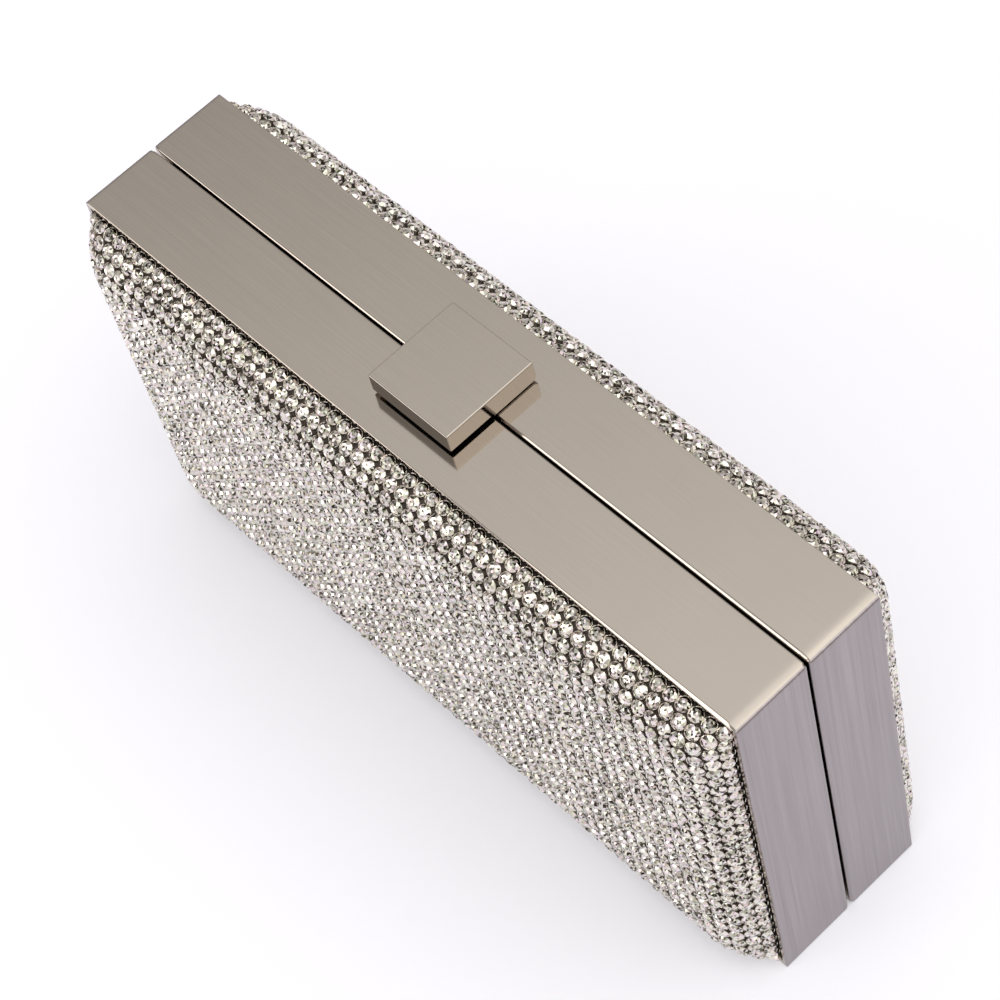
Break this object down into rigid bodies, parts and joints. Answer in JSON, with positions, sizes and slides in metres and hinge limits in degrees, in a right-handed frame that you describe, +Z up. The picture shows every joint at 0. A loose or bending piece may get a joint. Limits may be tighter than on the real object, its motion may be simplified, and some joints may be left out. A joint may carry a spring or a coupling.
{
  "type": "clutch bag",
  "caption": "Hard box clutch bag with a metal frame, domed crystal mesh panels, a hinged front half and a square lift clasp on top.",
  "frame": {"origin": "centre of the base on the surface that the closed bag stands on", "axes": "+X along the bag's length, +Y from the opening front half to the back half, +Z up to the clasp"},
  "size_m": [0.19, 0.0552, 0.1055],
  "materials": {
    "frame_metal": "fine brushed pewter plate, satin to glossy",
    "shell_board": "moulded, hidden under the mesh and the lining",
    "crystal_mesh": "round cut clear stones in metal cups on a square grid",
    "lining": "dark satin over board",
    "hinge_steel": "plain plated steel",
    "spring_steel": "hardened strip"
  },
  "bodies": {
    "rear_half": {"rear_frame_band": "frame_metal", "rear_shell": "shell_board", "rear_crystal_mesh": "crystal_mesh", "rear_lining": "lining", "rear_hinge_leaf_left": "hinge_steel", "rear_hinge_leaf_right": "hinge_steel", "hinge_pin_left": "hinge_steel", "hinge_pin_right": "hinge_steel", "clasp_base": "hinge_steel", "base_rivet_left": "hinge_steel", "base_rivet_right": "hinge_steel"},
    "front_half": {"front_frame_band": "frame_metal", "front_shell": "shell_board", "front_crystal_mesh": "crystal_mesh", "front_lining": "lining", "front_hinge_leaf_left": "hinge_steel", "front_hinge_leaf_right": "hinge_steel", "spring_catch": "spring_steel"},
    "clasp": {"clasp_cover": "frame_metal", "clasp_pin": "hinge_steel", "clasp_tongue": "hinge_steel", "tongue_screw_left": "hinge_steel", "tongue_screw_right": "hinge_steel"}
  },
  "joints": [
    {"name": "front_open", "type": "hinge", "parent": "rear_half", "child": "front_half", "pos_m": [0, 0, 0.0013], "axis": [1, 0, 0], "range_deg": [0, 95], "deforming": ["spring_catch"]},
    {"name": "clasp_lift", "type": "hinge", "parent": "rear_half", "child": "clasp", "pos_m": [0, 0.0102, 0.1013], "axis": [-1, 0, 0], "range_deg": [0, 35], "deforming": ["spring_catch"]}
  ]
}
